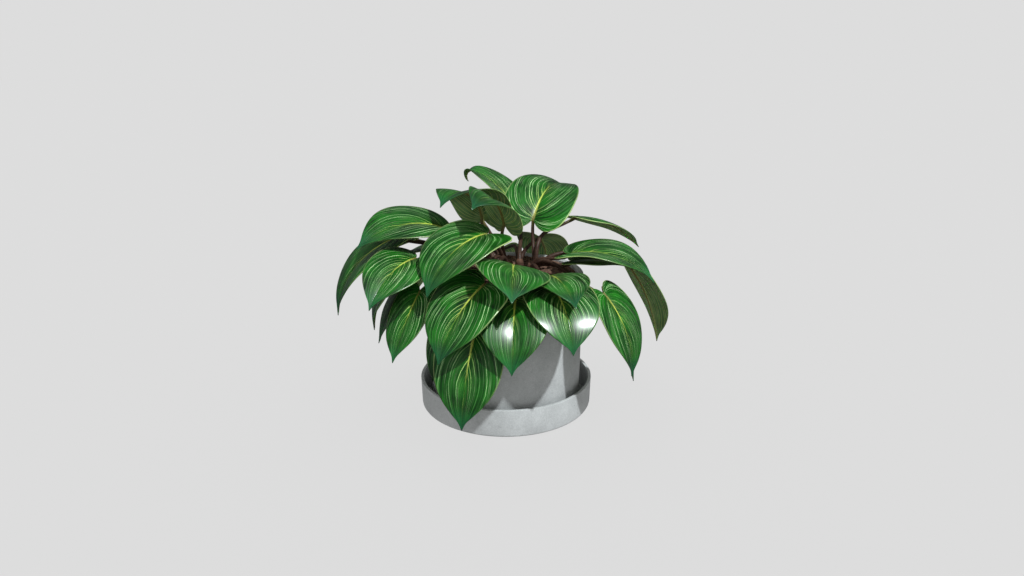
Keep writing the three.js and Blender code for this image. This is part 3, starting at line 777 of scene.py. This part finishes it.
bump = add_node(back_skin, "Bump", {"Height": relief, "Strength": 0.6, "Distance": 0.0004})
shader = add_node(back_skin, "BsdfPrincipled", {
    "Base Color": olive.outputs[2], "Roughness": rough, "IOR": 1.42,
    "Specular IOR Level": 0.2, "Normal": bump,
    "Subsurface Weight": 0.6, "Subsurface Radius": (0.5, 1, 0.35), "Subsurface Scale": 0.0012,
})
add_node(back_skin, "OutputMaterial", {"Surface": shader})

own_leaves = [(leaf_name, {**TYPICAL, **leaf})
              for _, leaves in STEMS.values() for leaf_name, leaf in leaves.items()]
for rank, (leaf_name, leaf) in enumerate(own_leaves):
    shape = bmesh.new()
    veins = shape.loops.layers.uv.new("veins")
    blade_place = shape.verts.layers.float_vector.new("blade_place")
    bmesh.ops.create_grid(shape, x_segments=BLADE_ROWS, y_segments=BLADE_COLUMNS, size=1)
    for vert in shape.verts:
        # rows run from notch to tip, and columns lie closer at the midrib and at the margin
        side = abs(vert.co.y)
        side = 0.35 * side + 0.65 * side * side * (3 - 2 * side)
        vert.co = ((vert.co.x + 1) / 2, math.copysign(side, vert.co.y), 0)
    for face in shape.faces:
        for loop in face.loops:
            loop[veins].uv = (loop.vert.co.x, (loop.vert.co.y + 1) / 2)
    for vert in shape.verts:
        across = vert.co.y
        point, share, out = blade_at(leaf, vert.co.x, across, rank * RIPPLE_SHIFT)
        vert[blade_place] = (share, math.copysign(out, across), (rank * PATTERN_SHIFT) % 1)
        vert.co = point
    bmesh.ops.remove_doubles(shape, verts=shape.verts, dist=0.02)
    blade = settle(shape, f"blade_{leaf_name}", face_skin, back_skin)
    body = blade.modifiers.new("body", "SOLIDIFY")
    body.thickness = BLADE_THICKNESS / 1000
    body.offset = 0
    body.material_offset = 1
    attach(blade, "root")
    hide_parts(f"leaf_{leaf_name}")

# Studio
# A plain pale floor that meets an even pale surround, one soft key light from above and right
# of the front, and the camera where the photograph was taken from.

# Half the floor's width, and how far it lies below the saucer, in millimetres
FLOOR_REACH = 20000
FLOOR_DROP = 0.4
KEY_AZIMUTH = math.radians(35)
KEY_ELEVATION = math.radians(53)
CAMERA_TILT = math.radians(17.68)
# Of the photograph, in pixels
FOCAL_LENGTH = 695
PHOTO_WIDTH = 1024

shape = bmesh.new()
bmesh.ops.create_grid(shape, x_segments=1, y_segments=1, size=FLOOR_REACH,
                      matrix=Matrix.Translation((0, 0, -FLOOR_DROP)))
floor_paint = new_material("floor_paint")
# Matt paint with a glow of its own, which keeps it as even as the surround.
shader = add_node(floor_paint, "BsdfPrincipled", {
    "Base Color": linear("#4f4f4f"), "Roughness": 0.9, "Specular IOR Level": 0,
    "Emission Color": linear("#dddddd"), "Emission Strength": 0.923,
})
add_node(floor_paint, "OutputMaterial", {"Surface": shader})
floor = settle(shape, "studio_floor", floor_paint)
floor.visible_diffuse = False
floor.visible_glossy = False
floor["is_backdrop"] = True

surround = bpy.data.worlds.new("studio_surround")
surround.use_nodes = True
surround.node_tree.nodes.clear()
# even and pale to the eye and to matt surfaces, but a dim room in what glossy ones reflect
ray = add_node(surround, "LightPath")
way_out = add_node(surround, "TexCoord").outputs["Generated"]
height = add_node(surround, "SeparateXYZ", {0: way_out})
above = add_node(surround, "MapRange", {"Value": height.outputs[2], "From Min": -0.5,
                                        "From Max": -0.05, "To Min": 0.45, "To Max": 1})
pale = add_node(surround, "Background", {"Color": linear("#dddddd"), "Strength": above})
dim = add_node(surround, "Background", {"Color": linear("#dfe6e8"), "Strength": 0.1})
seen = add_node(surround, "MixShader", {0: ray.outputs["Is Glossy Ray"], 1: pale, 2: dim})
add_node(surround, "OutputWorld", {"Surface": seen})
surround.cycles.sampling_method = "NONE"
bpy.context.scene.world = surround

key = bpy.data.lights.new("key", "SUN")
key.energy = 3.8
key.color = (0.96, 1, 1.02)
key.angle = math.radians(2)
key_light = bpy.data.objects.new("key", key)
towards = Vector((
    math.sin(KEY_AZIMUTH) * math.cos(KEY_ELEVATION),
    -math.cos(KEY_AZIMUTH) * math.cos(KEY_ELEVATION),
    math.sin(KEY_ELEVATION),
))
key_light.rotation_euler = towards.to_track_quat("Z", "Y").to_euler()
key_light.location = towards * 3
bpy.context.scene.collection.objects.link(key_light)
lit = bpy.data.collections.new("lit_by_key")
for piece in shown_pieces():
    lit.objects.link(piece)
key_light.light_linking.receiver_collection = lit

lens = bpy.data.cameras.new("camera")
lens.sensor_width = 36
lens.lens = lens.sensor_width * FOCAL_LENGTH / PHOTO_WIDTH
lens.clip_start = 0.05
lens.clip_end = 100
camera = bpy.data.objects.new("camera", lens)
camera.location = (0.0072, -0.7756, 0.3864)
camera.rotation_euler = (math.radians(90) - CAMERA_TILT, 0, 0)
bpy.context.scene.collection.objects.link(camera)
bpy.context.scene.camera = camera
bpy.context.scene.view_settings.view_transform = "Standard"
